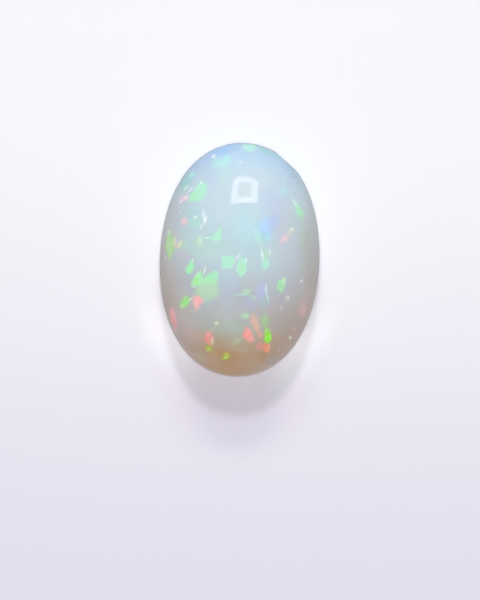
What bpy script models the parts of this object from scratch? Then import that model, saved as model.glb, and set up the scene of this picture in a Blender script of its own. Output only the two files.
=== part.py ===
"""Oval opal cabochon: one stone, a high polished dome over a rounded back with a flat seat.

The stone lies on its flat seat in the XY plane, dome up. Its length runs along Y and its width
along X. Units are metres.
"""

import bmesh
import bpy
import numpy as np
from mathutils import Vector

# Overall size of the stone, outside to outside
LENGTH = 0.0150
WIDTH = 0.01024

# Heights: the girdle is the widest line, and the seat at Z 0 is the flat that the stone rests on
GIRDLE_LEVEL = 0.0014
DOME_HEIGHT = 0.0047
SEAT_RISE = np.radians(-35.0)  # where the seat cuts off the rounded back
BACK_DEPTH = GIRDLE_LEVEL / -np.sin(SEAT_RISE)

# How far the form is fuller than an ellipsoid
OUTLINE_FILL = 0.0113  # share of a third harmonic, which fills out the four corners of the oval
SHOULDER_POWER = 0.93  # 1 is a plain elliptical dome, and less is fuller at the shoulders

# The small flats worn on the rim beside the blue end, each as (turn, rise, depth)
RIM_FLATS = (
    (np.radians(59.0), np.radians(2.0), 0.00008),
    (np.radians(47.0), np.radians(15.0), 0.00005),
)

# Facets of the solid; a ring of them falls on the seat's edge
STEPS_AROUND = 88
STEPS_UP = 36

# Finish
OPAL_COLOUR = (0.55, 0.66, 0.67, 1.0)
OPAL_ROUGHNESS = 0.06
OPAL_IOR = 1.45


def stone_points(turn, rise):
    """Points of the whole rounded form, before any flat is cut.

    turn goes round the outline and rise goes from the back (-90 degrees) past the girdle (0) to
    the top of the dome (90 degrees). The outline is an ellipse with a little of its third
    harmonic, which fades towards the top so that the crown of the dome is evenly round.
    """
    ring = np.cos(rise)
    fill = OUTLINE_FILL * ring**2
    x = WIDTH / 2 * ring * (np.cos(turn) - fill * np.cos(3 * turn)) / (1 - fill)
    y = LENGTH / 2 * ring * (np.sin(turn) + fill * np.sin(3 * turn)) / (1 - fill)
    up = np.sin(rise)
    z = GIRDLE_LEVEL + np.where(up > 0, DOME_HEIGHT * np.abs(up) ** SHOULDER_POWER, BACK_DEPTH * up)
    return np.stack([x, y, z], axis=-1)


def outward_normal(turn, rise):
    """The surface's outward direction at one point, from the two tangents there."""
    step = 1e-4
    here = stone_points(turn, rise)
    round_the_stone = stone_points(turn + step, rise) - here
    up_the_dome = stone_points(turn, rise + step) - here
    return Vector(np.cross(round_the_stone, up_the_dome)).normalized()


def cut_flat(form, point, outward):
    """Slices off what lies beyond a plane and closes the cut with one flat face."""
    parts = form.verts[:] + form.edges[:] + form.faces[:]
    cut = bmesh.ops.bisect_plane(
        form, geom=parts, dist=1e-7, plane_co=point, plane_no=outward, clear_outer=True
    )
    rim = [item for item in cut["geom_cut"] if isinstance(item, bmesh.types.BMEdge)]
    bmesh.ops.holes_fill(form, edges=rim, sides=0)


def make_stone_mesh():
    """A sphere drawn out to the stone's form, then cut flat at the seat and on the rim."""
    form = bmesh.new()
    bmesh.ops.create_uvsphere(form, u_segments=STEPS_AROUND, v_segments=STEPS_UP, radius=1.0)
    sphere = np.array([vertex.co[:] for vertex in form.verts])
    turn = np.arctan2(sphere[:, 1], sphere[:, 0])
    rise = np.arctan2(sphere[:, 2], np.hypot(sphere[:, 0], sphere[:, 1]))
    for vertex, place in zip(form.verts, stone_points(turn, rise)):
        vertex.co = place

    cut_flat(form, Vector((0, 0, 0)), Vector((0, 0, -1)))
    for flat_turn, flat_rise, depth in RIM_FLATS:
        outward = outward_normal(flat_turn, flat_rise)
        touch = Vector(stone_points(flat_turn, flat_rise))
        cut_flat(form, touch - outward * depth, outward)

    bmesh.ops.recalc_face_normals(form, faces=form.faces)
    mesh = bpy.data.meshes.new("opal_cabochon")
    form.to_mesh(mesh)
    form.free()
    mesh.shade_smooth()
    mesh.set_sharp_from_angle(angle=np.radians(20.0))
    return mesh


def make_opal_material():
    """Milky, polished opal."""
    material = bpy.data.materials.new("opal")
    material.use_nodes = True
    surface = material.node_tree.nodes["Principled BSDF"]
    surface.inputs["Base Color"].default_value = OPAL_COLOUR
    surface.inputs["Roughness"].default_value = OPAL_ROUGHNESS
    surface.inputs["Metallic"].default_value = 0.0
    surface.inputs["IOR"].default_value = OPAL_IOR
    return material


def clear_scene():
    """Removes whatever the file came with."""
    for old in list(bpy.data.objects):
        bpy.data.objects.remove(old)


def main():
    clear_scene()
    collection = bpy.data.collections.new("oval_opal_cabochon")
    bpy.context.scene.collection.children.link(collection)
    stone = bpy.data.objects.new("opal_cabochon", make_stone_mesh())
    stone.data.materials.append(make_opal_material())
    collection.objects.link(stone)


main()
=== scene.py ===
"""Polished oval opal cabochon: the looks of the stone, a pale studio floor, lights and a camera.

The stone is one smooth surface that stands for the faceted solid. Its colours are a shader: a
milky body that runs from blue to amber along the stone, partly its own tone and partly painted
light and shade, and flashes of colour with angular edges.
"""

from typing import NamedTuple

import bpy
import numpy as np
from bpy.props import FloatProperty, FloatVectorProperty, IntProperty, PointerProperty
from bpy.types import Operator, Panel, PropertyGroup
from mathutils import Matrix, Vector


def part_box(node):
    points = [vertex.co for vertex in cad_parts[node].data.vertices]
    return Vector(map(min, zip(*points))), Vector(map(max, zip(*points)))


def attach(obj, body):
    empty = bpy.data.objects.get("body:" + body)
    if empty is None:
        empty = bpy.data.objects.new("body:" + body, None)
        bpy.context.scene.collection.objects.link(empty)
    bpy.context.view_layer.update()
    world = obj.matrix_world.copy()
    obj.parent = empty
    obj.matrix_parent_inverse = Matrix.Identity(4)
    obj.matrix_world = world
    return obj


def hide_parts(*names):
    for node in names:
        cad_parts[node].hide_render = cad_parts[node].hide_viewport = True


bl_info = {
    "name": "Polished Opal Cabochon",
    "version": (1, 0, 0),
    "blender": (4, 5, 0),
    "location": "View3D > Sidebar > Opal",
    "description": "Builds a polished oval opal with flashes of colour, and a pale stage for it",
    "category": "Add Mesh",
}

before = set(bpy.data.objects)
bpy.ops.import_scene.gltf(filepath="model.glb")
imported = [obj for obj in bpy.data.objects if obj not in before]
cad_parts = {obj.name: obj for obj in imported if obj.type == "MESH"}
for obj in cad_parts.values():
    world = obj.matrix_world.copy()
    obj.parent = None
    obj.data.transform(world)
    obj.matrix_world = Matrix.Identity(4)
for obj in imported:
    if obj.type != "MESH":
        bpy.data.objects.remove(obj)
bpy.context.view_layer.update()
STONE_LOW, STONE_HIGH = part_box("opal_cabochon")

MM = 0.001

# How the photograph shows the stone: its centre and its lean in the picture, and the real size of
# one picture point at the level of the stone's widest line.
PICTURE_CENTRE_X = 239.6
PICTURE_CENTRE_Y = 259.8
PICTURE_LEAN = np.radians(2.5)
PICTURE_WIDTH = 480
PICTURE_HEIGHT = 600
PICTURE_STONE_LENGTH = 234.0
PICTURE_POINT = (STONE_HIGH.y - STONE_LOW.y) / PICTURE_STONE_LENGTH

CAMERA_DISTANCE = 0.250
CAMERA_NEAREST = 0.01
CAMERA_FURTHEST = 10.0
SENSOR_WIDTH = 36.0


def srgb(red, green, blue):
    """A linear colour from the 0 to 255 values that a screen shows."""
    screen = np.array([red, green, blue]) / 255
    linear = np.where(screen <= 0.04045, screen / 12.92, ((screen + 0.055) / 1.055) ** 2.4)
    return tuple(float(value) for value in linear)


def colour(name, description, red, green, blue):
    return FloatVectorProperty(
        name=name,
        description=description,
        default=srgb(red, green, blue),
        subtype="COLOR",
        min=0.0,
        max=1.0,
    )


def number(name, description, default, **kind):
    return FloatProperty(name=name, description=description, default=default, **kind)


def length(name, description, default):
    return number(name, description, default, unit="LENGTH", precision=6)


def power(name, description, default):
    return number(name, description, default, unit="POWER")


class OpalShape(PropertyGroup):
    """The stone's sizes, which are those of the solid that it stands for."""

    length: length("Length", "Longest size, along Y", STONE_HIGH.y - STONE_LOW.y)
    width: length("Width", "Size across, along X", STONE_HIGH.x - STONE_LOW.x)
    height: length("Height", "From the seat to the top of the dome", STONE_HIGH.z - STONE_LOW.z)
    girdle: length("Girdle level", "Height of the widest line above the seat", 1.4 * MM)
    seat_rise: number(
        "Seat angle",
        "Angle below the girdle at which the flat seat cuts off the rounded back",
        np.radians(-35.0),
        subtype="ANGLE",
    )
    outline_fill: number(
        "Outline fill", "Share of a third harmonic that fills out the corners of the oval", 0.0113
    )
    shoulder_power: number(
        "Shoulder power", "1 is a plain elliptical dome, and less is fuller at the shoulders", 0.93
    )
    edge_round: length("Edge rounding", "How softly the seat and the rim flats are worn", 0.03 * MM)
    steps_around: IntProperty(name="Steps around", description="Faces round the oval", default=448)
    steps_up: IntProperty(name="Steps up", description="Faces from seat to dome", default=216)


class OpalBody(PropertyGroup):
    """Colours of the milky body, along the stone and at its rim: partly their own tone, partly
    painted light at the amber end and painted shade at the rim.
    """

    crown_blue: colour("Blue end", "Body at the blue end", 191, 219, 243)
    crown_pale: colour("Pale blue", "Palest part of the body, under the blue end", 203, 220, 233)
    middle: colour("Middle", "Body in the middle of the dome", 194, 218, 225)
    lower: colour("Lower middle", "Greyer body towards the amber end", 193, 197, 204)
    sage: colour("Sage", "Greenish body where the amber begins", 190, 196, 190)
    sand: colour("Sand", "Warm body between the sage and the amber", 199, 173, 140)
    amber: colour("Amber", "Body of the amber end", 199, 150, 84)
    # partly painted light: the amber tip is brighter, as if lit by light passing through the stone,
    # over the body's own amber
    amber_and_painted_glow: colour("Deep amber", "Body at the amber end's rim", 224, 172, 112)
    # The rim colours are partly the thin edge's own tone and partly painted shade that greys the
    # steep sides.
    rim_blue: colour("Rim at the blue end", "Thin edge of the stone, blue end", 180, 211, 238)
    rim_teal: colour("Rim teal", "Thin edge of the stone, upper middle", 203, 220, 227)
    rim_grey: colour("Rim grey", "Thin edge of the stone, middle", 206, 212, 212)
    rim_rose: colour("Rim rose", "Thin edge of the stone, lower middle", 206, 198, 191)
    rim_amber: colour("Rim amber", "Thin edge of the stone, amber end", 207, 188, 174)
    rim_honey: colour("Rim honey", "Thin edge of the stone, at the very tip", 196, 165, 130)
    milk: colour("Milk", "Veils inside the stone", 226, 240, 244)


class OpalFlashes(PropertyGroup):
    """Colours of the flashes, and the size of the grains that give them angular edges."""

    pearl: colour("Pearl", "White streaks and specks", 234, 246, 252)
    mint: colour("Mint", "Pale green-blue flashes", 186, 236, 218)
    teal: colour("Teal", "Blue-green flashes near the rim", 162, 220, 220)
    cyan: colour("Cyan", "Light blue-green flashes", 190, 234, 242)
    azure: colour("Azure", "Deeper blue at the blue end", 156, 196, 246)
    sky: colour("Sky", "Blue flashes", 186, 222, 252)
    violet: colour("Violet", "Violet-blue flashes", 188, 204, 246)
    green: colour("Green", "Bright green flashes", 174, 242, 194)
    leaf: colour("Leaf", "Softer, warmer green flashes", 194, 230, 194)
    lime: colour("Lime", "Yellow-green flashes", 176, 232, 146)
    neon: colour("Neon", "The strongest green flash", 168, 238, 62)
    olive: colour("Olive", "Yellow-green flashes at the amber end", 204, 206, 74)
    gold: colour("Gold", "Yellow flashes", 230, 234, 206)
    orange: colour("Orange", "Orange flashes", 232, 200, 176)
    red: colour("Red", "Red flashes", 254, 174, 168)
    ember: colour("Ember", "Orange-red flashes at the amber end", 246, 172, 138)
    coral: colour("Coral", "Pale red flashes", 246, 200, 200)
    lilac: colour("Lilac", "Greyish violet veils", 206, 202, 216)
    smoke: colour("Smoke", "Warm grey veils", 190, 184, 180)
    rose: colour("Rose", "Dusky pink veils", 196, 172, 172)
    pink: colour("Pink", "Pink flashes", 229, 214, 224)
    coarse_grain: length("Coarse grain", "Size of the grains in large flashes", 0.42 * MM)
    fine_grain: length("Fine grain", "Size of the grains in small flashes", 0.22 * MM)
    stray_spacing: length("Stray spacing", "Between the flashes on the sides and back", 1.5 * MM)
    # painted light: the flashes give out light by emission, standing in for the bright colour they
    # reflect
    glow: number("Glow", "Light that the flashes give back", 0.4)


class OpalFinish(PropertyGroup):
    """Polish and milkiness of the stone."""

    polish: number("Polish", "Roughness of the dome", 0.015)
    back_polish: number("Back polish", "Roughness of the seat", 0.24)
    index: number("Refraction", "Refractive index of opal", 1.45)
    milkiness: number("Milkiness", "Share of the light that scatters inside", 0.5)
    scatter_depth: length("Scatter depth", "How far that light travels", 0.50 * MM)


class OpalStage(PropertyGroup):
    """Floor, lights and camera."""

    # The floor darkens from the far colour to the near one: painted shade for light that falls off
    # away from the lamps behind the blue end.
    floor_top: colour("Floor, far", "Floor beyond the blue end", 245, 244, 249)
    floor_near_painted_shade: colour("Floor, near", "Floor before the amber end", 228, 224, 239)
    # painted light: the floor's own glow beside the stone's amber end, which no lamp casts
    painted_light_pool: colour("Gleam", "Light that the stone gathers on the floor", 247, 252, 250)
    painted_light_pool_strength: number("Gleam strength", "Brightness of that light", 0.22)
    air: colour("Air", "Even light from all round", 250, 249, 255)
    air_strength: number("Air strength", "Of the even light", 0.12)
    mirrored_air: number("Mirrored air", "Of the even light where the stone mirrors it", 0.5)
    overhead_power: power("Overhead light", "Soft light above the stone", 1.4)
    key_power: power("Key light", "Light behind the blue end", 0.52)
    low_power: power("Low light", "Wide, low light under the key", 0.545)
    fill_power: power("Fill light", "From the amber end, and casts no shadow", 0.4)
    window_strength: number("Window", "Brightness of the window that the dome mirrors", 5.4)


class Facet(NamedTuple):
    """One flash with straight sides, given by three to five corners in the picture.

    corners holds an x and a y for each corner, clockwise round a convex outline. edge is how soft
    that outline is.
    """

    hue: str
    corners: tuple
    strength: float
    edge: float


class Flash(NamedTuple):
    """One flash of colour, placed where the photograph shows it.

    x and y are its place in the picture, across and along its size there, all in picture points.
    turn leans its length clockwise, in degrees. edge is how soft its outline is, and grain which
    grains cut it: coarse, fine or none. taper above 0 makes its upper end the wider one.
    """

    hue: str
    x: float
    y: float
    across: float
    along: float
    turn: float
    strength: float
    edge: float = 0.6
    grain: str = "none"
    taper: float = 0.0


# Broad, soft areas of tint come first, so that the bright flashes lie over them.
HAZES = (
    Flash("sky", 219, 152, 36, 15, 62, 0.55, 0.9),
    Flash("azure", 222, 150, 14, 34, 68, 0.62, 0.9),
    Flash("violet", 205, 160, 10, 26, 42, 0.35, 0.9),
    Flash("violet", 213, 179, 14, 14, 0, 0.25, 0.9),
    Flash("mint", 224, 174, 14, 40, 8, 0.2, 0.9),
    Flash("cyan", 246, 228, 24, 34, 0, 0.4, 0.9),
    Flash("teal", 185, 184, 12, 24, 36, 0.75, 0.7, "coarse"),
    Flash("teal", 189, 214, 26, 30, 0, 0.28, 0.9, "coarse"),
    Flash("violet", 276, 204, 30, 26, 0, 0.32, 0.9),
    Flash("cyan", 283, 192, 12, 16, 0, 0.35, 0.9),
    Flash("teal", 289.4, 166.4, 5, 14, -52, 0.65),
    Flash("teal", 266, 151.6, 6.5, 30, -62, 0.6, 0.8),
    Flash("leaf", 303, 236, 12, 34, -10, 0.22, 0.9),
    Flash("leaf", 206, 250, 40, 18, 0, 0.24, 0.9),
    Flash("sky", 226, 285, 22, 30, 0, 0.2, 0.9),
    Flash("lilac", 184, 256, 13, 10, 0, 0.6, 0.9),
    Flash("violet", 249, 304, 15, 12, 20, 0.2, 0.8),
    Flash("lilac", 177, 216, 20, 50, 10, 0.4, 0.9),
    Flash("lilac", 284, 238, 34, 66, -6, 0.4, 0.9),
    Flash("leaf", 232, 330, 44, 22, 0, 0.1, 0.9),
    Flash("teal", 263.6, 303.6, 8, 11, 0, 0.4, 0.8),
    Flash("smoke", 308, 250, 18, 56, 0, 0.4, 0.9),
    Flash("coral", 304, 309, 18, 22, 10, 0.24, 0.9),
    Flash("rose", 275, 320, 46, 34, 0, 0.4, 0.9),
    Flash("pink", 187, 322, 30, 52, -14, 0.16, 0.9),
    Flash("coral", 197, 337, 26, 12, 0, 0.12, 0.9),
    Flash("gold", 214, 356, 26, 10, 14, 0.07, 0.9),
    Flash("leaf", 199, 356, 16, 12, 30, 0.14, 0.9),
    Flash("smoke", 272, 360, 20, 12, 60, 0.4, 0.9),
)

FLASHES = (
    # Blue end
    Facet("cyan", (214.2, 158.5, 230.6, 156.6, 230.4, 164, 223, 169, 214.4, 167), 0.6, 0.45),
    Flash("mint", 221, 163, 16, 11, 0, 0.35, 0.8),
    Flash("cyan", 226.6, 158.8, 4.7, 6, 0, 0.6),
    Facet("mint", (243.4, 145, 254.8, 144.6, 254.4, 150.6, 248, 152.4, 243.6, 149.4), 0.85, 0.3),
    Flash("cyan", 249.6, 148, 10, 14, 80, 0.75, 0.8),
    Flash("pearl", 213.8, 156.8, 4, 5, 60, 0.75, 0.7),
    Flash("pearl", 240.6, 162.8, 2.4, 3.6, 90, 0.5, 0.5),
    Flash("pearl", 285, 176.6, 2.4, 2.4, 0, 0.6),
    Flash("pearl", 295.6, 181, 2, 3.6, -60, 0.6),
    Flash("cyan", 282.8, 191.6, 5, 6, 0, 0.3, 0.8),
    # Upper left
    Flash("teal", 191.6, 178, 6, 12, 40, 0.5, 0.7),
    Flash("cyan", 193.4, 175.2, 5.4, 9, 60, 0.9, 0.5, "fine"),
    Flash("teal", 189.6, 179, 2.6, 8, 38, 0.5, 0.5),
    Flash("mint", 186.2, 188.4, 2.8, 9.6, 42, 1.0, 0.5),
    Flash("pearl", 186.8, 187.8, 1.4, 7.6, 42, 0.5, 0.5),
    Flash("pearl", 190.6, 190.4, 2.2, 7.4, 40, 0.7, 0.5),
    Flash("mint", 203.4, 195, 9, 15, 24, 0.45, 0.7),
    Facet("mint", (200.8, 181.4, 206.8, 188, 201.4, 201, 189.6, 201.6, 189.8, 195.4), 1.0, 0.28),
    Flash("green", 194, 197.4, 8, 11, 40, 0.6, 0.7),
    Flash("mint", 202, 191, 9, 17, 26, 0.6, 0.7),
    Flash("pearl", 201, 183, 2.4, 3, 0, 0.8, 0.5),
    Facet("pink", (179.4, 203.4, 180.2, 199, 184.2, 196, 189, 194.8, 189, 200), 0.85, 0.4),
    Flash("coral", 184.6, 199.4, 4, 7, 58, 0.3, 0.7),
    Flash("pearl", 186.4, 198, 3.4, 7, 58, 0.55, 0.7),
    Flash("pearl", 180.8, 202.2, 2.4, 5, 50, 0.6),
    Flash("pink", 184.4, 222, 9, 8, 20, 0.95),
    Flash("coral", 184.6, 222.6, 5.4, 5, 0, 0.16, 0.7),
    Flash("pearl", 180.6, 212.6, 2.4, 2.6, 0, 0.35),
    Flash("mint", 194.6, 223, 10.5, 13, 0, 0.4, 0.8, "coarse"),
    Flash("pearl", 195.4, 217.6, 4, 3.4, 0, 0.55, 0.5),
    Facet("pearl", (203.4, 209.4, 207.2, 219, 204.8, 225.2, 201.6, 216), 0.45, 0.4),
    Flash("pearl", 205.2, 220, 2.6, 9, 6, 0.75, 0.5),
    Flash("pearl", 201.6, 227, 2.2, 8, 32, 0.5, 0.5, taper=0.3),
    # Left side
    Facet("lime", (168.8, 231, 174, 239, 173.8, 250, 168.6, 259.6, 165.2, 246), 1.0, 0.34),
    Flash("gold", 169.6, 245, 6.6, 28, 0, 0.46, 0.7),
    Flash("leaf", 170.8, 238.6, 2.2, 12, -4, 0.85, 0.5),
    Flash("pearl", 168.6, 232.6, 1.6, 4, -8, 0.75, 0.5),
    Flash("leaf", 169.4, 250.4, 2, 8, 6, 0.8, 0.5),
    Flash("pearl", 165.4, 257.8, 1.6, 4.4, -14, 0.5, 0.5),
    Flash("gold", 175, 242.6, 4.6, 12, 0, 0.7),
    Flash("coral", 176.2, 247, 2.6, 5, 0, 0.2),
    Flash("gold", 179.8, 245, 4, 10, 34, 0.85),
    Flash("leaf", 184, 245, 5.8, 12, 30, 0.3, 0.7),
    Facet("leaf", (196.2, 235.8, 201.4, 237, 202.6, 241.6, 199.4, 247.8, 194.8, 243.4), 0.62, 0.5),
    Flash("pearl", 200.4, 241.6, 4, 8, 0, 0.42, 0.8),
    # Under the window
    Facet("mint", (221.6, 227.4, 221.8, 239, 215.6, 243.2, 211.4, 238.8, 215.6, 232.2), 0.95, 0.25),
    Flash("mint", 209.4, 238.6, 3, 13, 86, 0.8, 0.5, taper=0.3),
    Flash("pearl", 206.4, 238.6, 1.4, 7, 86, 0.4, 0.5),
    Flash("sky", 199, 231.6, 3, 4, 0, 0.2, 0.7),
    # Right side
    Facet("mint", (292.2, 197, 298.8, 204, 302, 211, 299, 214.6, 293.6, 209), 0.55, 0.4),
    Facet("green", (296.2, 207, 300.6, 207.6, 304, 213.4, 302.6, 220, 296.4, 214.4), 0.7, 0.4),
    Flash("pearl", 294.8, 203.4, 2.8, 11, -32, 0.5, 0.5),
    Flash("leaf", 301.4, 216.4, 2.6, 6, -10, 0.5),
    Flash("sky", 265, 229, 11.5, 24, -8, 0.9, 0.75, "coarse", taper=0.1),
    Flash("violet", 273, 222, 11.7, 15, 0, 0.75, 0.8),
    Flash("cyan", 258.4, 237, 8.2, 17, -24, 0.6, 0.7, "fine"),
    Flash("mint", 259.4, 240, 4.7, 10, -20, 0.42, 0.7),
    Flash("teal", 264.4, 238, 9, 11, 0, 0.5, 0.7, "fine"),
    Flash("cyan", 268.6, 238.4, 7, 6, 0, 0.5, 0.7),
    Flash("pink", 284.6, 238.8, 7, 14, 48, 0.8, 0.8),
    Flash("pink", 285.4, 238.2, 2.4, 7, 48, 0.3),
    Flash("gold", 291, 231, 6, 9, 42, 0.5),
    Flash("pearl", 292, 230.2, 2.2, 4, 30, 0.75, 0.5),
    Flash("leaf", 313.2, 265.2, 4.7, 5, 0, 0.35, 0.8),
    # Middle
    Facet("mint", (222.2, 257, 233.4, 256.4, 235, 263, 231.8, 269.4, 222, 269.6), 0.95, 0.25),
    Facet("mint", (238.6, 258.6, 246.2, 258.8, 246.8, 271.6, 241.6, 278, 236, 271.6), 0.95, 0.25),
    Flash("leaf", 241.4, 269.6, 5.8, 11, 0, 0.45),
    Flash("pearl", 237.8, 257.4, 2.8, 11, 32, 0.4, 0.5),
    Flash("pearl", 246, 261.4, 2, 5, 0, 0.5, 0.5),
    Facet("leaf", (262.6, 250.4, 269.4, 250.8, 268.6, 259.6, 264.6, 261.6, 261.6, 257), 0.5, 0.3),
    Facet("mint", (261.2, 251, 264.4, 255, 266.6, 262.6, 262.8, 263.4, 260.8, 257), 0.7, 0.35),
    Facet("mint", (269, 259.4, 269.4, 265.4, 266.2, 271.4, 262, 269, 262, 262.6), 0.85, 0.3),
    Flash("pearl", 262.2, 255.6, 2.4, 10, -10, 0.75, 0.5),
    Flash("pearl", 269.8, 252.4, 2.4, 5.4, -4, 0.65, 0.5),
    # Left of the middle
    Facet("green", (191.8, 260.4, 194.2, 266, 192, 273.4, 187.2, 274.6, 185.4, 269.6), 1.0, 0.3),
    Flash("pearl", 192.8, 261.4, 1.8, 4, 10, 0.55, 0.5),
    Facet("green", (200.6, 270.6, 203, 277, 200, 286.4, 191, 286.8, 192.6, 279), 0.95, 0.34),
    Flash("lime", 195.2, 282, 6, 9, 30, 0.75),
    Flash("lime", 198.4, 286, 5, 5, 0, 0.45, 0.8),
    Flash("gold", 197, 275.4, 1.8, 6, 18, 0.6, 0.5),
    Flash("pearl", 194.6, 287, 4, 2.4, 30, 0.55, 0.5),
    Flash("pearl", 204.6, 271, 1.8, 9, 12, 0.65, 0.5),
    Facet("green", (203.4, 278.8, 213, 272, 218, 273.6, 216.4, 284.6, 202, 285.2), 0.88, 0.38),
    Flash("mint", 215, 276, 6, 8, 10, 0.6),
    Flash("mint", 202.6, 283.4, 2.4, 4, 0, 0.7, 0.5),
    Facet("leaf", (198, 281, 216.6, 281, 218.8, 296, 207.6, 302.4, 194.6, 296), 0.66, 0.46),
    Facet("lime", (186.2, 295.6, 190, 299.4, 188, 305.8, 182, 309.8, 179.6, 303.4), 1.0, 0.36),
    Flash("gold", 182.4, 306.6, 1.8, 6.4, 40, 0.85, 0.5),
    Flash("leaf", 186, 298.6, 3, 3.4, 0, 0.6),
    Flash("gold", 190.6, 299.8, 2.4, 6, 44, 0.65, 0.5),
    Facet("coral", (193.4, 296.2, 198.6, 296.4, 204.2, 301.6, 196, 311.4, 192.6, 303), 0.9, 0.3),
    Flash("red", 198.4, 301.6, 5.4, 6, 0, 0.4, 0.8),
    Facet("coral", (169.4, 309.6, 174.6, 310, 177.4, 322, 176.8, 333, 171, 321), 0.85, 0.45),
    Flash("red", 172.8, 318, 4.4, 16, -12, 0.85, 0.7),
    Flash("coral", 172.8, 317.4, 2.6, 12, -12, 0.5),
    # Right of the middle
    Flash("leaf", 246.6, 293, 5.4, 10, 66, 0.65, 0.5, "fine"),
    Flash("mint", 240.6, 295.4, 1.8, 17, 92, 0.5, 0.5),
    Flash("leaf", 253.4, 298.4, 3.6, 14, -52, 0.35, 0.7),
    Flash("violet", 261.2, 291.4, 10.5, 20, 8, 0.42, 0.8, taper=0.1),
    Flash("pearl", 266, 290, 2.4, 11, -2, 0.4),
    Flash("mint", 266.4, 292.4, 1.6, 7, -6, 0.35),
    Flash("mint", 267.8, 299.2, 2, 11, -12, 0.5),
    Flash("pearl", 267.4, 297.4, 1.2, 6, -12, 0.4),
    Facet("green", (285.6, 278.4, 285.4, 286, 281.6, 293, 276.6, 289.2, 278.2, 281.8), 0.86, 0.36),
    Flash("lime", 281, 287.6, 6, 9, 20, 0.35, 0.7),
    Flash("gold", 284.2, 281.4, 2.8, 6.4, 12, 0.7),
    Flash("pearl", 301.5, 281.4, 2.4, 3.6, 10, 0.75, 0.5),
    Flash("gold", 287, 299, 5.8, 7, 30, 0.3),
    Flash("pearl", 288, 297.8, 1.8, 3.4, 14, 0.5, 0.5),
    Flash("pearl", 281.4, 308.6, 2.2, 6, -8, 0.3),
    Flash("coral", 302.8, 310.6, 5.8, 11, 6, 0.3, 0.7),
    Flash("coral", 304, 311.4, 1.8, 6, 0, 0.5),
    # Amber end
    Flash("leaf", 245, 316.4, 6.3, 9, 82, 0.7),
    Flash("orange", 254.2, 320.6, 9.4, 13, -10, 0.66),
    Flash("orange", 256.8, 327.6, 7, 12, -16, 0.7),
    Flash("ember", 259.8, 334.8, 5.8, 9, -24, 0.36),
    Flash("orange", 260, 335, 5, 8, -24, 0.45),
    Facet("red", (245.8, 327.6, 250, 328.8, 254.8, 340.8, 248.4, 343.2, 242.8, 336.4), 0.95, 0.36),
    Flash("orange", 250.8, 340.6, 3, 9, 74, 0.6),
    Flash("lime", 265, 321, 8.8, 14, 0, 0.52, 0.9),
    Facet("neon", (265, 328.4, 270, 330.6, 271.8, 338.6, 268.2, 345, 264, 340), 1.0, 0.36),
    Flash("olive", 266.2, 331, 3, 5, -10, 0.5),
    Flash("gold", 270, 338, 1.4, 7, -14, 0.3),
    Flash("red", 259.6, 346.2, 9, 9, -30, 0.4, 0.7),
    Facet("ember", (263.6, 343.4, 270.2, 345, 269.6, 351, 266.6, 353.4, 262.6, 349.6), 0.95, 0.3),
    Flash("gold", 269, 346.6, 1.6, 7, -10, 0.4, 0.5),
    Flash("gold", 216.6, 323.8, 3, 5, 84, 0.95, 0.5),
    Flash("gold", 213.2, 329, 1.4, 7, 36, 0.25),
    Facet("red", (206.6, 331.6, 210.8, 332.6, 214, 338.6, 210.4, 345.6, 204.4, 340.6), 0.76, 0.36),
    Flash("ember", 209.6, 342, 6, 6, 0, 0.6, 0.7),
    Flash("orange", 210.6, 341.6, 4, 5, 0, 0.4, 0.7),
    Flash("gold", 212.6, 341.4, 2.6, 9, -4, 0.5),
    Flash("olive", 209, 348.4, 7.4, 7, 30, 0.8, 0.4, "fine"),
    Flash("lime", 208, 350.4, 2.4, 4.6, 80, 0.45, 0.5),
    Flash("olive", 226.6, 356.2, 7.6, 8.6, 60, 0.85, 0.45, "fine"),
    Flash("olive", 223.6, 358.8, 2.6, 6, 64, 0.6),
    Flash("neon", 225.6, 358, 3.6, 3.6, 0, 0.4),
    Flash("leaf", 236.4, 342, 6, 12, 60, 0.3, 0.9),
    Flash("gold", 290, 337.8, 3.6, 3.8, 0, 0.9),
    Flash("gold", 294, 329, 2.2, 3.4, 0, 0.4),
    Flash("pink", 279.4, 350, 1.6, 4, 0, 0.4),
)


def harmonic_ring(shape, turn, rise):
    """Half-width and half-length directions of the oval ring at one rise.

    Both are the ellipse's cosine and sine with a third harmonic, which fades towards the crown.
    """
    ring = np.cos(rise)
    fill = shape.outline_fill * ring**2
    across = ring * (np.cos(turn) - fill * np.cos(3 * turn)) / (1 - fill)
    along = ring * (np.sin(turn) + fill * np.sin(3 * turn)) / (1 - fill)
    return across, along


def rounded_form(shape, turn, rise):
    """Points of the whole rounded form: a dome over a rounded back, joined at the girdle.

    The plan is the oval ring scaled to half the width and half the length. The height above the
    girdle is the dome's height times the sine of the rise to the shoulder power, and below it the
    back's depth times the sine.
    """
    across, along = harmonic_ring(shape, turn, rise)
    up = np.sin(rise)
    dome = (shape.height - shape.girdle) * np.abs(up) ** shape.shoulder_power
    back = shape.girdle / -np.sin(shape.seat_rise) * up
    height = shape.girdle + np.where(up > 0, dome, back)
    flat = (shape.width / 2 * across, shape.length / 2 * along)
    return np.stack(np.broadcast_arrays(*flat, height), axis=-1)


def soft_clip(value, rounding):
    """The larger of value and 0, with the corner between them rounded over by that length."""
    corner = np.maximum(rounding - np.abs(value), 0.0)
    return np.maximum(value, 0.0) + corner**2 / (4 * rounding)


# The small flats worn on the rim beside the blue end, each as (turn, rise, depth)
RIM_FLATS = (
    (np.radians(59.0), np.radians(2.0), 0.08 * MM),
    (np.radians(47.0), np.radians(15.0), 0.05 * MM),
)


RIM_FLAT_ROUNDING = 0.25  # of the rim flats' edges, as a share of the seat's
TANGENT_STEP = 1e-4  # the turn, in radians, over which a tangent is taken


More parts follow.
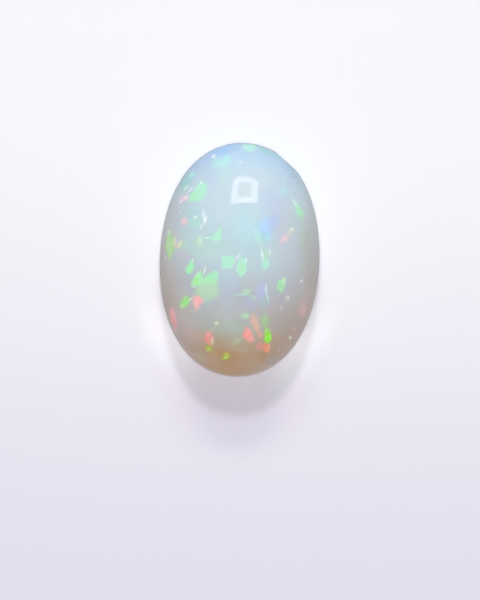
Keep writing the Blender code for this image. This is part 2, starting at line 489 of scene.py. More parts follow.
def press_rim_flat(shape, points, turn, rise, depth):
    """Points with those beyond a plane pressed back onto it.

    The plane lies at that depth under the surface point (turn, rise), square to the surface's
    normal there, which is the cross product of the two tangents.
    """
    touch = rounded_form(shape, turn, rise)
    round_the_stone = rounded_form(shape, turn + TANGENT_STEP, rise) - touch
    up_the_dome = rounded_form(shape, turn, rise + TANGENT_STEP) - touch
    outward = np.cross(round_the_stone, up_the_dome)
    outward /= np.linalg.norm(outward)
    beyond = (points - touch) @ outward + depth
    return points - soft_clip(beyond, shape.edge_round * RIM_FLAT_ROUNDING)[..., None] * outward


def stone_grid(shape):
    """The finished surface on a grid of turns (columns) and rises (rows, from pole to pole).

    The rounded form is flattened at Z 0 for the seat and pressed in at the rim flats.
    """
    turn = np.linspace(0, 2 * np.pi, shape.steps_around, endpoint=False)
    rise = np.linspace(-np.pi / 2, np.pi / 2, shape.steps_up + 1)
    points = rounded_form(shape, turn[None, :], rise[:, None])
    points[..., 2] = soft_clip(points[..., 2], shape.edge_round)
    for flat in RIM_FLATS:
        points = press_rim_flat(shape, points, *flat)
    return points


def closed_mesh(name, grid):
    """A closed mesh from a grid whose first and last rows each meet in one pole.

    Column j joins column j + 1 round the seam, and each pole is one vertex with a fan of
    triangles, so the surface has no open edge and its faces point outwards.
    """
    rows, columns = grid.shape[:2]
    poles = grid[[0, -1]].mean(axis=1)
    vertices = np.concatenate([grid[1:-1].reshape(-1, 3), poles])
    index = np.arange((rows - 2) * columns).reshape(rows - 2, columns)
    ahead = np.roll(index, -1, axis=1)
    quads = np.stack([index[:-1], ahead[:-1], ahead[1:], index[1:]], axis=-1).reshape(-1, 4)
    south, north = len(vertices) - 2, len(vertices) - 1
    bottom = np.stack([np.full(columns, south), ahead[0], index[0]], axis=-1)
    top = np.stack([index[-1], ahead[-1], np.full(columns, north)], axis=-1)
    mesh = bpy.data.meshes.new(name)
    mesh.from_pydata(vertices, [], quads.tolist() + bottom.tolist() + top.tolist())
    mesh.polygons.foreach_set("use_smooth", np.ones(len(mesh.polygons), bool))
    mesh.update()
    return mesh


# The sockets of a Mix node that mixes colours
MIX_FACTOR, MIX_FIRST, MIX_SECOND, MIX_RESULT = 0, 6, 7, 2


def link(tree, source, target):
    """Joins two sockets, or sets the target to a plain value."""
    if isinstance(source, bpy.types.NodeSocket):
        tree.links.new(source, target)
    else:
        target.default_value = source


def math_node(tree, operation, *values):
    node = tree.nodes.new("ShaderNodeMath")
    node.operation = operation
    for value, socket in zip(values, node.inputs):
        link(tree, value, socket)
    return node.outputs["Value"]


def vector_node(tree, operation, *values):
    node = tree.nodes.new("ShaderNodeVectorMath")
    node.operation = operation
    for value, socket in zip(values, node.inputs):
        link(tree, value, socket)
    return node.outputs["Value" if operation in ("LENGTH", "DOT_PRODUCT") else "Vector"]


def scaled(tree, vector, scale):
    node = tree.nodes.new("ShaderNodeVectorMath")
    node.operation = "SCALE"
    link(tree, vector, node.inputs["Vector"])
    link(tree, scale, node.inputs["Scale"])
    return node.outputs["Vector"]


def turned(tree, vector, angle, centre=(0.0, 0.0, 0.0)):
    """A vector turned about the Z axis through centre."""
    node = tree.nodes.new("ShaderNodeVectorRotate")
    node.rotation_type = "Z_AXIS"
    link(tree, vector, node.inputs["Vector"])
    link(tree, centre, node.inputs["Center"])
    link(tree, angle, node.inputs["Angle"])
    return node.outputs["Vector"]


def separate(tree, vector):
    node = tree.nodes.new("ShaderNodeSeparateXYZ")
    link(tree, vector, node.inputs["Vector"])
    return node.outputs


def combine(tree, x, y, z):
    node = tree.nodes.new("ShaderNodeCombineXYZ")
    for value, socket in zip((x, y, z), node.inputs):
        link(tree, value, socket)
    return node.outputs["Vector"]


def smooth_range(tree, value, low, high, to_low=0.0, to_high=1.0):
    """A smooth step from to_low at low to to_high at high."""
    node = tree.nodes.new("ShaderNodeMapRange")
    node.interpolation_type = "SMOOTHSTEP"
    for given, socket in zip((value, low, high, to_low, to_high), node.inputs):
        link(tree, given, socket)
    return node.outputs["Result"]


def mix_colour(tree, share, first, second, clamped=True):
    node = tree.nodes.new("ShaderNodeMix")
    node.data_type = "RGBA"
    node.clamp_factor = clamped
    link(tree, share, node.inputs[MIX_FACTOR])
    link(tree, first, node.inputs[MIX_FIRST])
    link(tree, second, node.inputs[MIX_SECOND])
    return node.outputs[MIX_RESULT]


def noise(tree, vector, size, detail=2.0):
    """Smooth noise from 0 to 1 whose lumps are about that size."""
    node = tree.nodes.new("ShaderNodeTexNoise")
    link(tree, vector, node.inputs["Vector"])
    node.inputs["Scale"].default_value = 1 / size
    node.inputs["Detail"].default_value = detail
    return node.outputs["Fac"]


def voronoi_cells(tree, vector, size):
    """Angular cells about that large: the pattern's outputs."""
    node = tree.nodes.new("ShaderNodeTexVoronoi")
    link(tree, vector, node.inputs["Vector"])
    link(tree, math_node(tree, "DIVIDE", 1.0, size), node.inputs["Scale"])
    return node.outputs


def colour_ramp(tree, position, stops, tones, interpolation="EASE"):
    """A ramp of colours; each stop is a place from 0 to 1 and the name of one of the tones."""
    node = tree.nodes.new("ShaderNodeValToRGB")
    link(tree, position, node.inputs["Fac"])
    ramp = node.color_ramp
    ramp.interpolation = interpolation
    for _ in stops[2:]:
        ramp.elements.new(0.5)
    for element, (place, name) in zip(ramp.elements, stops):
        element.position = place
        element.color = (*getattr(tones, name), 1.0)
    return node.outputs["Color"]


VECTOR, NUMBER = "NodeSocketVector", "NodeSocketFloat"


def new_group(name, inputs, outputs):
    """An empty shader group: its tree, its inputs and its outputs, each a name and a kind."""
    group = bpy.data.node_groups.new(name, "ShaderNodeTree")
    for side, sockets in (("INPUT", inputs), ("OUTPUT", outputs)):
        for socket_name, kind in sockets.items():
            group.interface.new_socket(socket_name, in_out=side, socket_type=kind)
    given = group.nodes.new("NodeGroupInput").outputs
    return group, given, group.nodes.new("NodeGroupOutput").inputs


def use_group(tree, group, **values):
    """Places a group; each keyword is an input's name with _ for a space."""
    node = tree.nodes.new("ShaderNodeGroup")
    node.node_tree = group
    for name, value in values.items():
        link(tree, value, node.inputs[name.replace("_", " ").title()])
    return node.outputs


def make_grain_group():
    """Grains like those of precious opal: angular cells, each of one shade.

    A place is drawn towards the middle of its Voronoi cell by Share, so a soft shape that is
    drawn on the result breaks up along the cells' straight edges.
    """
    group, given, out = new_group(
        "opal grains",
        {"Vector": VECTOR, "Grain": NUMBER, "Share": NUMBER},
        {"Vector": VECTOR, "Shade": NUMBER},
    )
    cells = voronoi_cells(group, given["Vector"], given["Grain"])
    to_middle = vector_node(group, "SUBTRACT", cells["Position"], given["Vector"])
    drawn = scaled(group, to_middle, given["Share"])
    link(group, vector_node(group, "ADD", given["Vector"], drawn), out["Vector"])
    link(group, separate(group, cells["Color"])["X"], out["Shade"])
    return group


KITE_SHARE = 0.3  # how far a flash is a kite rather than an oval
LEAST_WIDENING = 0.2  # the least width that its taper leaves it


def make_flash_group():
    """One flash: a kite with rounded sides, turned about its centre and scaled to its size.

    The mask is 1 where a blend of the plain distance and the sum of the three axes' distances is
    under 1. Taper widens one end, and Edge is how far the outline fades.
    """
    group, given, out = new_group(
        "opal flash",
        {"Vector": VECTOR, "Centre": VECTOR, "Turn": NUMBER, "Size": VECTOR, "Taper": NUMBER}
        | {"Edge": NUMBER, "Strength": NUMBER},
        {"Mask": NUMBER},
    )
    upright = turned(group, given["Vector"], given["Turn"], given["Centre"])
    offset = vector_node(group, "SUBTRACT", upright, given["Centre"])
    place = vector_node(group, "DIVIDE", offset, given["Size"])
    along = vector_node(group, "DOT_PRODUCT", place, (0, 1, 0))
    widening = math_node(group, "MULTIPLY_ADD", given["Taper"], along, 1.0)
    widening = math_node(group, "MAXIMUM", widening, LEAST_WIDENING)
    place = vector_node(group, "DIVIDE", place, combine(group, widening, 1.0, 1.0))
    plain = vector_node(group, "LENGTH", place)
    kite = vector_node(group, "DOT_PRODUCT", vector_node(group, "ABSOLUTE", place), (1, 1, 1))
    pointed = math_node(group, "MULTIPLY", kite, KITE_SHARE)
    distance = math_node(group, "MULTIPLY_ADD", plain, 1 - KITE_SHARE, pointed)
    inner = math_node(group, "SUBTRACT", 1.0, given["Edge"])
    outer = math_node(group, "ADD", 1.0, given["Edge"])
    link(group, smooth_range(group, distance, inner, outer, given["Strength"], 0.0), out["Mask"])
    return group


FACET_SIDES = ("Side 1", "Side 2", "Side 3", "Side 4", "Side 5", "Under")


def make_facet_group():
    """One flash with straight sides.

    Each side is a vector square to it whose dot product with the offset from Centre is 1 on that
    side, so the mask is where the largest of the products is under 1. Under does the same for the
    height, so that no flash shows under the girdle. Edge is how far the outline fades.
    """
    group, given, out = new_group(
        "opal facet",
        dict.fromkeys(("Vector", "Centre", *FACET_SIDES), VECTOR)
        | {"Edge": NUMBER, "Strength": NUMBER},
        {"Mask": NUMBER},
    )
    offset = vector_node(group, "SUBTRACT", given["Vector"], given["Centre"])
    furthest = 0.0
    for name in FACET_SIDES:
        reach = vector_node(group, "DOT_PRODUCT", offset, given[name])
        furthest = math_node(group, "MAXIMUM", reach, furthest)
    inner = math_node(group, "SUBTRACT", 1.0, given["Edge"])
    outer = math_node(group, "ADD", 1.0, given["Edge"])
    link(group, smooth_range(group, furthest, inner, outer, given["Strength"], 0.0), out["Mask"])
    return group


# Fine layers inside the flashes
STREAK_TURN = np.radians(36.0)
STREAK_SIZE = (0.15 * MM, 0.8 * MM, 0.5 * MM)
STREAK_PALE_RANGE = (0.54, 0.68)  # levels of the noise between which a layer turns pale
STREAK_CLEAR_RANGE = (0.44, 0.32)  # and clear
STREAK_PALE = 0.22  # share of pearl in the pale layers
STREAK_CLEAR = 0.25  # share of the body's colour in the clear ones
STREAK_CHANGE = (0.08, 0.4)  # distance from the body's colour over which the pale ones set in


def make_streak_group():
    """Fine parallel layers inside a flash: noise that is drawn out along one direction.

    Pale is 1 on the brightest streaks, and Clear on the gaps where the body shows through.
    """
    group, given, out = new_group(
        "opal streaks",
        {"Vector": VECTOR, "Turn": NUMBER, "Size": VECTOR},
        {"Pale": NUMBER, "Clear": NUMBER},
    )
    leaning = turned(group, given["Vector"], given["Turn"])
    drawn = vector_node(group, "DIVIDE", leaning, given["Size"])
    layers = noise(group, drawn, 1.0, 1.0)
    link(group, smooth_range(group, layers, *STREAK_PALE_RANGE), out["Pale"])
    link(group, smooth_range(group, layers, *STREAK_CLEAR_RANGE), out["Clear"])
    return group


# Stray flashes on the low sides and the back
STRAY_LEAST_REACH, STRAY_MORE_REACH = 0.16, 0.22  # in spacings
STRAY_EDGE = (0.8, 1.15)  # where their outline fades, in reaches
STRAY_SHARE = 0.45  # of the cells light up
STRAY_LEVELS = (1.3 * MM, 2.0 * MM)  # heights between which they fade out
STRAY_STRENGTH = 0.85
STRAY_VARIETY = 0.5  # how far their colour strays from that of their end
STRAY_HUES = (  # from the amber end on
    (0.1, "red"), (0.22, "orange"), (0.32, "lime"), (0.5, "green"),
    (0.66, "mint"), (0.8, "cyan"), (0.92, "sky"),
)


def make_stray_group():
    """Flashes that aren't placed one by one: some cells of a coarse Voronoi pattern light up.

    Mask is 1 near the middle of each cell that is chosen, and Pick is the cell's own number from
    0 to 1, for its colour.
    """
    group, given, out = new_group(
        "stray flashes",
        {"Vector": VECTOR, "Spacing": NUMBER, "Share": NUMBER},
        {"Mask": NUMBER, "Pick": NUMBER},
    )
    cells = voronoi_cells(group, given["Vector"], given["Spacing"])
    size, chance, pick = separate(group, cells["Color"])
    reach = math_node(group, "MULTIPLY_ADD", size, STRAY_MORE_REACH, STRAY_LEAST_REACH)
    near = math_node(group, "DIVIDE", cells["Distance"], reach)
    lit = math_node(group, "LESS_THAN", chance, given["Share"])
    shape = smooth_range(group, near, *STRAY_EDGE, 1.0, 0.0)
    link(group, math_node(group, "MULTIPLY", shape, lit), out["Mask"])
    link(group, pick, out["Pick"])
    return group


def picture_point(x, y):
    """The stone's own X and Y, at its girdle's level, of a place in the picture."""
    right = (x - PICTURE_CENTRE_X) * PICTURE_POINT
    up = (PICTURE_CENTRE_Y - y) * PICTURE_POINT
    cosine, sine = np.cos(PICTURE_LEAN), np.sin(PICTURE_LEAN)
    return right * cosine - up * sine, right * sine + up * cosine


def dome_height(shape, x, y):
    """Height of the dome over X, Y: the dome's height times (1 - r squared) to half its power."""
    squared = (2 * x / shape.width) ** 2 + (2 * y / shape.length) ** 2
    rest = np.clip(1 - squared, 0.0, 1.0)
    return shape.girdle + (shape.height - shape.girdle) * rest ** (shape.shoulder_power / 2)


def on_dome(shape, x, y):
    """The point of the dome that shows at a place in the picture.

    What stands above the girdle looks larger by its height over the camera's distance.
    """
    flat_x, flat_y = picture_point(x, y)
    height = dome_height(shape, flat_x, flat_y)
    nearer = 1 - (height - shape.girdle) / CAMERA_DISTANCE
    return Vector((flat_x * nearer, flat_y * nearer, height))


# The body's colours along the middle and the rim, from the amber end (0) to the blue end (1):
# partly the body's own tone, partly painted light at the amber tip and painted shade that greys the
# rim
MIDDLE_TONES_AND_LIGHT = (
    (0.0, "amber_and_painted_glow"), (0.075, "amber"), (0.135, "sand"), (0.215, "sage"),
    (0.32, "lower"), (0.54, "middle"), (0.83, "crown_pale"), (0.97, "crown_blue"),
)
RIM_TONES_AND_SHADE = (
    (0.0, "rim_honey"), (0.08, "rim_amber"), (0.2, "rim_amber"), (0.34, "rim_rose"),
    (0.52, "rim_grey"), (0.7, "rim_teal"), (0.9, "rim_blue"),
)

TONE_BEND = -0.14  # how far the ramps bend at the sides, in half-lengths
TONE_SWAY = 0.1  # how far they sway with the cloud, in half-lengths
CLOUD_SIZE = 3.2 * MM
RIM_ALONG = 0.75  # weight of the place along the stone in the distance that tells the rim
RIM_RANGE = (0.3, 0.95)  # squares of that distance over which the rim's ramp takes over
VEIL_SIZE = 2.6 * MM
VEIL_DETAIL = 3.0
VEIL_RANGE = (0.45, 0.75)  # levels of the noise between which a veil sets in
VEIL_STRENGTH = 0.14


def body_colour(tree, shape, body, place):
    """The milky body, partly painted light and shade: a ramp of colours down the middle, one down
    the rim, and veils between.

    The ramps run from 0 at the amber end's tip to 1 at the blue end's. A cloud shifts them, and
    they bend towards the blue end at the sides, so that the amber reaches further up there.
    """
    half = (2 / shape.width, 2 / shape.length, 1 / shape.height)
    across, along, _ = separate(tree, vector_node(tree, "MULTIPLY", place, half))
    across_squared = math_node(tree, "MULTIPLY", across, across)
    along_squared = math_node(tree, "MULTIPLY", along, along)
    squared = math_node(tree, "MULTIPLY_ADD", along_squared, RIM_ALONG, across_squared)
    bend = math_node(tree, "MULTIPLY", across_squared, TONE_BEND)
    cloud = noise(tree, place, CLOUD_SIZE)
    sway = math_node(tree, "MULTIPLY_ADD", cloud, TONE_SWAY, -TONE_SWAY / 2)
    shifted = math_node(tree, "ADD", math_node(tree, "ADD", along, bend), sway)
    position = math_node(tree, "MULTIPLY_ADD", shifted, 0.5, 0.5)
    middle = colour_ramp(tree, position, MIDDLE_TONES_AND_LIGHT, body)
    rim = colour_ramp(tree, position, RIM_TONES_AND_SHADE, body)
    toned = mix_colour(tree, smooth_range(tree, squared, *RIM_RANGE), middle, rim)
    lumps = noise(tree, place, VEIL_SIZE, VEIL_DETAIL)
    veil = smooth_range(tree, lumps, *VEIL_RANGE, 0.0, VEIL_STRENGTH)
    return mix_colour(tree, veil, toned, (*body.milk, 1.0))


def facet_mask(tree, shape, facet_group, place, facet):
    """The mask of one straight-sided flash, whose corners are taken from the picture to the dome.

    A side's vector is its outward normal over the normal's distance from the centre.
    """
    corners = np.array([on_dome(shape, x, y) for x, y in np.reshape(facet.corners, (-1, 2))])
    centre = corners.mean(axis=0)
    sides = np.zeros((len(FACET_SIDES), 3))
    for side, here, ahead in zip(sides, corners, np.roll(corners, -1, axis=0)):
        outward = np.array([here[1] - ahead[1], ahead[0] - here[0], 0.0])
        side[:] = outward / outward.dot(here - centre)
    sides[-1, 2] = -(1 + facet.edge) / (centre[2] - shape.girdle)
    named = {name.lower().replace(" ", "_"): tuple(side) for name, side in zip(FACET_SIDES, sides)}
    soft = {"edge": facet.edge, "strength": facet.strength}
    return use_group(tree, facet_group, vector=place, centre=tuple(centre), **soft, **named)["Mask"]


FLASH_DEPTH = 1.6  # how deep a flash reaches, in its half-sizes
FLASH_LEAST_HALF = 0.4 * MM  # the least half-size that counts for its depth


def flash_mask(tree, shape, flash_group, places, flash):
    """The mask of one kite-shaped flash, whose centre lies on the dome."""
    centre = on_dome(shape, flash.x, flash.y)
    across = flash.across * PICTURE_POINT / 2
    along = flash.along * PICTURE_POINT / 2
    depth = max(across, along, FLASH_LEAST_HALF) * FLASH_DEPTH
    turn = np.radians(flash.turn) - PICTURE_LEAN
    return use_group(
        tree,
        flash_group,
        vector=places[flash.grain],
        centre=centre,
        turn=turn,
        size=(across, along, depth),
        taper=flash.taper,
        edge=flash.edge,
        strength=flash.strength,
    )["Mask"]


GRAIN_SHARE = 0.4  # how far the grains draw a flash's outline to their own
GRAIN_CONTRAST = 0.3  # how far they differ in brightness
GRAIN_PLAIN_SHADE = 0.7  # the shade of a grain that leaves a flash as it is

# Uneven polish, which varies the roughness from its least share of the plain one
WEAR_SIZE = 0.9 * MM
WEAR_DETAIL = 4.0
WEAR_SPREAD, WEAR_LEAST = 0.5, 0.75

SCATTER_RADII = (1.0, 0.8, 0.65)  # of red, green and blue light, in scatter depths


def new_material(name):
    """A material, its node tree and its surface shader."""
    material = bpy.data.materials.new(name)
    material.use_nodes = True
    return material, material.node_tree, material.node_tree.nodes["Principled BSDF"]


def make_opal_material(shape, body, flashes, finish):
    """Polished opal: the body's colours, soft hazes, and the flashes over them."""
    material, tree, surface = new_material("polished opal")
    place = tree.nodes.new("ShaderNodeTexCoord").outputs["Object"]

    grains = make_grain_group()
    coarse = use_group(tree, grains, vector=place, grain=flashes.coarse_grain, share=GRAIN_SHARE)
    fine = use_group(tree, grains, vector=place, grain=flashes.fine_grain, share=GRAIN_SHARE)
    places = {"coarse": coarse["Vector"], "fine": fine["Vector"], "none": place}

    base = body_colour(tree, shape, body, place)
    painted = base
    flash_group, facet_group = make_flash_group(), make_facet_group()
    for flash in HAZES + FLASHES:
        if isinstance(flash, Facet):
            mask = facet_mask(tree, shape, facet_group, place, flash)
        else:
            mask = flash_mask(tree, shape, flash_group, places, flash)
        painted = mix_colour(tree, mask, painted, (*getattr(flashes, flash.hue), 1.0))

    painted = add_stray_flashes(tree, shape, flashes, painted, places)
    layers = make_streak_group()
    streaks = use_group(tree, layers, vector=place, turn=STREAK_TURN, size=STREAK_SIZE)
    change = vector_node(tree, "LENGTH", vector_node(tree, "SUBTRACT", painted, base))
    most = smooth_range(tree, change, *STREAK_CHANGE, 0.0, STREAK_PALE)
    pale = math_node(tree, "MULTIPLY", streaks["Pale"], most)
    painted = mix_colour(tree, pale, painted, (*flashes.pearl, 1.0))
    plain = 1 - GRAIN_CONTRAST * GRAIN_PLAIN_SHADE
    sparkle = math_node(tree, "MULTIPLY_ADD", fine["Shade"], GRAIN_CONTRAST, plain)
    sparkle = math_node(tree, "MULTIPLY_ADD", streaks["Clear"], -STREAK_CLEAR, sparkle)
    painted = mix_colour(tree, sparkle, base, painted, clamped=False)
    link(tree, painted, surface.inputs["Base Color"])

    # Painted light: each flash glows by as much as it is brighter than the body, for the light it
    # reflects.
    extra = vector_node(tree, "MAXIMUM", vector_node(tree, "SUBTRACT", painted, base), (0, 0, 0))
    link(tree, extra, surface.inputs["Emission Color"])
    surface.inputs["Emission Strength"].default_value = flashes.glow

    height = separate(tree, place)["Z"]
    polish = smooth_range(tree, height, 0.0, shape.girdle, finish.back_polish, finish.polish)
    lumps = noise(tree, place, WEAR_SIZE, WEAR_DETAIL)
    wear = math_node(tree, "MULTIPLY_ADD", lumps, WEAR_SPREAD, WEAR_LEAST)
    link(tree, math_node(tree, "MULTIPLY", polish, wear), surface.inputs["Roughness"])

    surface.inputs["IOR"].default_value = finish.index
    surface.inputs["Subsurface Weight"].default_value = finish.milkiness
    surface.inputs["Subsurface Radius"].default_value = SCATTER_RADII
    surface.inputs["Subsurface Scale"].default_value = finish.scatter_depth
    return material


def add_stray_flashes(tree, shape, flashes, painted, places):
    """Flashes on the low sides and the back, in the colours that their end of the stone has."""
    group, spacing = make_stray_group(), flashes.stray_spacing
    stray = use_group(tree, group, vector=places["coarse"], spacing=spacing, share=STRAY_SHARE)
    _, along, height = separate(tree, places["none"])
    low_down = smooth_range(tree, height, *STRAY_LEVELS, STRAY_STRENGTH, 0.0)
    end = math_node(tree, "MULTIPLY_ADD", along, 1 / shape.length, 0.5)
    picked = math_node(tree, "MULTIPLY_ADD", stray["Pick"], STRAY_VARIETY, -STRAY_VARIETY / 2)
    position = math_node(tree, "ADD", end, picked)
    hue = colour_ramp(tree, position, STRAY_HUES, flashes, "CONSTANT")
    return mix_colour(tree, math_node(tree, "MULTIPLY", stray["Mask"], low_down), painted, hue)


# Where the painted pool of light on the floor begins and ends, in half-sizes of the stone
LIGHT_POOL_ACROSS = (0.3, 0.95)
LIGHT_POOL_ALONG = (-0.25, -0.75)
LIGHT_POOL_REACH = (1.02, 1.46)


def painted_light_pool_mask(tree, shape, place):
    """Where a pool of light is painted on the paper: on both sides of its amber end.

    across, along and reach are the place on the paper in half-sizes of the stone, so the stone's
    outline is where reach is 1.
    """
    halves = (2 / shape.width, 2 / shape.length, 0.0)
    offset = vector_node(tree, "MULTIPLY", place, halves)
    across, along, _ = separate(tree, offset)
    reach = vector_node(tree, "LENGTH", offset)
    beside = smooth_range(tree, math_node(tree, "ABSOLUTE", across), *LIGHT_POOL_ACROSS)
    amber_end = smooth_range(tree, along, *LIGHT_POOL_ALONG)
    close_by = smooth_range(tree, reach, *LIGHT_POOL_REACH, 1.0, 0.0)
    return math_node(tree, "MULTIPLY", math_node(tree, "MULTIPLY", beside, amber_end), close_by)


FLOOR_HALF_SIZE = 1.6
FLOOR_GAP = 0.02 * MM
# where the floor's painted shade sets in and where it is full, along Y
FLOOR_SHADE_FADE = (11.0 * MM, -23.0 * MM)
FLOOR_ROUGHNESS = 0.8


def make_floor_material(stage, shape):
    """Pale matt paper with painted shade that darkens it a little towards the amber end's side, and
    a painted pool of light on it.
    """
    material, tree, surface = new_material("pale paper")
    place = tree.nodes.new("ShaderNodeTexCoord").outputs["Object"]
    # painted shade: the paper darkens towards the amber end's side
    nearer = smooth_range(tree, separate(tree, place)["Y"], *FLOOR_SHADE_FADE)
    top, bottom = (*stage.floor_top, 1.0), (*stage.floor_near_painted_shade, 1.0)
    link(tree, mix_colour(tree, nearer, top, bottom), surface.inputs["Base Color"])
    # The emission paints a pool of light on the paper beside the stone's amber end.
    dark, painted_light_pool = (0.0, 0.0, 0.0, 1.0), (*stage.painted_light_pool, 1.0)
    lit = mix_colour(tree, painted_light_pool_mask(tree, shape, place), dark, painted_light_pool)
    link(tree, lit, surface.inputs["Emission Color"])
    surface.inputs["Emission Strength"].default_value = stage.painted_light_pool_strength
    surface.inputs["Roughness"].default_value = FLOOR_ROUGHNESS
    surface.inputs["Specular IOR Level"].default_value = 0.0
    return material


def make_light_material(name, strength, tone):
    material, tree, surface = new_material(name)
    tree.nodes.remove(surface)
    glow = tree.nodes.new("ShaderNodeEmission")
    glow.inputs["Color"].default_value = (*tone, 1.0)
    glow.inputs["Strength"].default_value = strength
    link(tree, glow.outputs["Emission"], tree.nodes["Material Output"].inputs["Surface"])
    return material


class WindowPanel(NamedTuple):
    """A flat, glowing panel that the dome mirrors as that outline in the picture.

    distance is how far it stands from the stone, and share its part of the window's brightness.
    """

    name: str
    distance: float
    share: float
    tone: tuple
    outline: tuple


WINDOW_PANELS = (
    WindowPanel("window_frame", 0.45, 1.0, (1.0, 0.97, 0.96), (
        (230.7, 205.2), (236.0, 204.8), (237.0, 203.6), (247.0, 203.5), (257.3, 203.8),
        (257.0, 197.0), (257.0, 190.0), (257.2, 183.2), (253.4, 180.0), (249.2, 177.5),
        (240.4, 177.4), (236.6, 179.0), (233.4, 182.0), (232.8, 189.0), (231.7, 197.0),
    )),
    WindowPanel("window_sill", 0.448, 1.3, (1.0, 0.86, 0.96), (
        (236.0, 203.4), (247.0, 203.2), (256.0, 203.4), (256.0, 198.4), (236.0, 198.4),
    )),
    WindowPanel("window_pane", 0.445, 0.42, (1.0, 0.86, 0.4), (
        (238.3, 198.0), (244.0, 198.0), (250.6, 198.0), (250.6, 190.0), (251.0, 184.0),
        (248.6, 182.4), (243.0, 182.2), (238.4, 182.2), (238.4, 189.0),
    )),
)


class Lamp(NamedTuple):
    """A rectangular light beyond the blue end, aimed at the stone.

    rise is its angle over the floor, in degrees, and power the stage's property that sets it.
    """

    name: str
    power: str
    rise: float
    size: tuple
    distance: float
    tone: tuple
    shadow: bool = True


LAMPS = (
    Lamp("overhead_light", "overhead_power", 92.0, (0.12, 0.12), 0.6, (1.0, 1.0, 1.0)),
    Lamp("key_light", "key_power", 48.0, (0.06, 0.05), 0.42, (0.96, 0.9, 1.0)),
    Lamp("low_light", "low_power", 35.0, (0.18, 0.05), 0.42, (0.94, 1.0, 0.8)),
    Lamp("fill_light", "fill_power", 135.0, (0.3, 0.3), 0.42, (1.0, 1.0, 1.0), shadow=False),
)


def add_object(name, data):
    item = bpy.data.objects.new(name, data)
    bpy.context.scene.collection.objects.link(item)
    return item


def camera_place(shape):
    """Straight above the point of the floor that the picture's middle shows."""
    x, y = picture_point(PICTURE_WIDTH / 2, PICTURE_HEIGHT / 2)
    return Vector((x, y, shape.girdle + CAMERA_DISTANCE))


SLOPE_STEP = 0.01 * MM


def mirrored_ray(shape, x, y):
    """From where the dome mirrors the room to the camera at a place in the picture, and which way.

    The sight line's direction d leaves the surface, whose normal is n, along d - 2 (d . n) n. The
    normal is (-slope along X, -slope along Y, 1), made one unit long.
    """
    point = on_dome(shape, x, y)
    apart = SLOPE_STEP * np.array([[1, 0], [0, 1]])
    ahead = dome_height(shape, *(np.array(point.xy) + apart).T)
    behind = dome_height(shape, *(np.array(point.xy) - apart).T)
    slope_x, slope_y = (ahead - behind) / (2 * SLOPE_STEP)
    normal = Vector((-slope_x, -slope_y, 1.0)).normalized()
    sight = (point - camera_place(shape)).normalized()
    return point, sight - 2 * sight.dot(normal) * normal


def add_window_panel(stage, shape, panel):
    """The panel lies square to the mean of the rays that its outline's points mirror."""
    rays = [mirrored_ray(shape, x, y) for x, y in panel.outline]
    facing = sum((ray for _, ray in rays), Vector()).normalized()
    corners = []
    for point, ray in rays:
        reach = (panel.distance - point.dot(facing)) / ray.dot(facing)
        corners.append(point + ray * reach)
    mesh = bpy.data.meshes.new(panel.name)
    mesh.from_pydata(corners, [], [list(range(len(corners)))])
    strength = stage.window_strength * panel.share
    mesh.materials.append(make_light_material(panel.name, strength, panel.tone))
    window = add_object(panel.name, mesh)
    window.visible_diffuse = False
    window.visible_camera = False
    window.visible_shadow = False


def add_lamp(stage, lamp):
    """An area light in the direction that the lamp's rise gives, which the stone doesn't mirror."""
    area = bpy.data.lights.new(lamp.name, "AREA")
    area.shape = "RECTANGLE"
    area.size, area.size_y = lamp.size
    area.energy = getattr(stage, lamp.power)
    area.color = lamp.tone
    area.use_shadow = lamp.shadow
    light = add_object(lamp.name, area)
    rise = np.radians(lamp.rise)
    behind = Vector((-np.sin(PICTURE_LEAN), np.cos(PICTURE_LEAN), 0.0))
    direction = behind * np.cos(rise) + Vector((0.0, 0.0, np.sin(rise)))
    light.location = direction * lamp.distance
    light.rotation_euler = direction.to_track_quat("Z", "Y").to_euler()
    light.visible_glossy = False


class OPAL_OT_add_stone(Operator):
    """Add the polished stone in place of the faceted solid."""

    bl_idname = "opal.add_stone"
    bl_label = "Polished Stone"

    def execute(self, context):
        scene = context.scene
        shape = scene.opal_shape
        grid = stone_grid(shape)
        if not np.isfinite(grid).all():
            raise RuntimeError("the stone's surface has points with no place")
        stone = add_object("polished_cabochon", closed_mesh("polished_cabochon", grid))
        looks = scene.opal_body, scene.opal_flashes, scene.opal_finish
        stone.data.materials.append(make_opal_material(shape, *looks))
        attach(stone, "root")
        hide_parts("opal_cabochon")
        return {"FINISHED"}


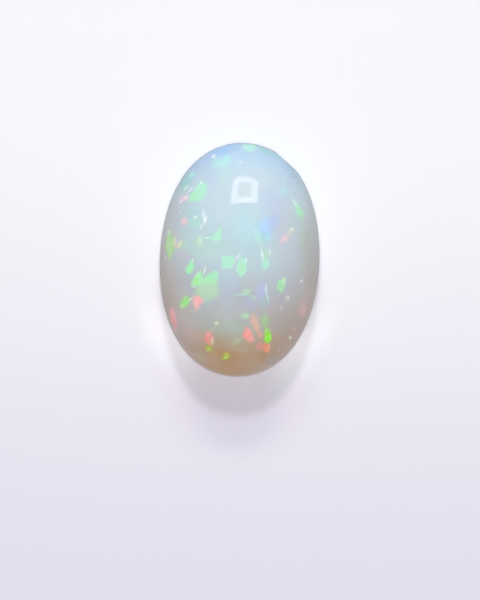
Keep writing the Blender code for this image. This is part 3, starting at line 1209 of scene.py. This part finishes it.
class OPAL_OT_add_stage(Operator):
    """Add the pale floor, the studio lights and the camera."""

    bl_idname = "opal.add_stage"
    bl_label = "Studio Stage"

    def execute(self, context):
        scene = context.scene
        stage, shape = scene.opal_stage, scene.opal_shape
        self.add_floor(stage, shape)
        self.add_air(scene, stage)
        for lamp in LAMPS:
            add_lamp(stage, lamp)
        for panel in WINDOW_PANELS:
            add_window_panel(stage, shape, panel)
        self.add_camera(scene, shape)
        scene.view_settings.view_transform = "Standard"
        return {"FINISHED"}

    @staticmethod
    def add_floor(stage, shape):
        side = FLOOR_HALF_SIZE
        corners = [(-side, -side), (side, -side), (side, side), (-side, side)]
        mesh = bpy.data.meshes.new("floor")
        mesh.from_pydata([(x, y, -FLOOR_GAP) for x, y in corners], [], [(0, 1, 2, 3)])
        mesh.materials.append(make_floor_material(stage, shape))
        floor = add_object("floor", mesh)
        floor.visible_glossy = False

    @staticmethod
    def add_air(scene, stage):
        world = bpy.data.worlds.new("air")
        world.use_nodes = True
        background = world.node_tree.nodes["Background"]
        background.inputs["Color"].default_value = (*stage.air, 1.0)
        tree = world.node_tree
        mirrored = tree.nodes.new("ShaderNodeLightPath").outputs["Is Glossy Ray"]
        extra = stage.mirrored_air - stage.air_strength
        strength = math_node(tree, "MULTIPLY_ADD", mirrored, extra, stage.air_strength)
        link(tree, strength, background.inputs["Strength"])
        scene.world = world

    @staticmethod
    def add_camera(scene, shape):
        lens = bpy.data.cameras.new("camera")
        lens.sensor_width = SENSOR_WIDTH
        lens.lens = SENSOR_WIDTH * CAMERA_DISTANCE / (PICTURE_HEIGHT * PICTURE_POINT)
        lens.clip_start, lens.clip_end = CAMERA_NEAREST, CAMERA_FURTHEST
        camera = add_object("camera", lens)
        camera.location = camera_place(shape)
        camera.rotation_euler = (0.0, 0.0, PICTURE_LEAN)
        scene.camera = camera


class OPAL_PT_sidebar(Panel):
    """Lists the stone and its stage in the 3D view's sidebar."""

    bl_label = "Polished Opal"
    bl_idname = "OPAL_PT_sidebar"
    bl_space_type = "VIEW_3D"
    bl_region_type = "UI"
    bl_category = "Opal"

    def draw(self, context):
        for settings, title in (
            (context.scene.opal_shape, "Shape"),
            (context.scene.opal_body, "Body colours"),
            (context.scene.opal_flashes, "Flashes"),
            (context.scene.opal_finish, "Finish"),
            (context.scene.opal_stage, "Stage"),
        ):
            box = self.layout.box()
            box.label(text=title)
            for name in settings.__annotations__:
                box.prop(settings, name)
        for operator in (OPAL_OT_add_stone, OPAL_OT_add_stage):
            self.layout.operator(operator.bl_idname)


SETTINGS = {
    "opal_shape": OpalShape,
    "opal_body": OpalBody,
    "opal_flashes": OpalFlashes,
    "opal_finish": OpalFinish,
    "opal_stage": OpalStage,
}
CLASSES = (*SETTINGS.values(), OPAL_OT_add_stone, OPAL_OT_add_stage, OPAL_PT_sidebar)


def register():
    for item in CLASSES:
        bpy.utils.register_class(item)
    for name, group in SETTINGS.items():
        setattr(bpy.types.Scene, name, PointerProperty(type=group))


def unregister():
    for name in SETTINGS:
        delattr(bpy.types.Scene, name)
    for item in reversed(CLASSES):
        bpy.utils.unregister_class(item)


def main():
    register()
    bpy.ops.opal.add_stone()
    bpy.ops.opal.add_stage()
    bpy.context.view_layer.update()


if __name__ == "__main__":
    main()
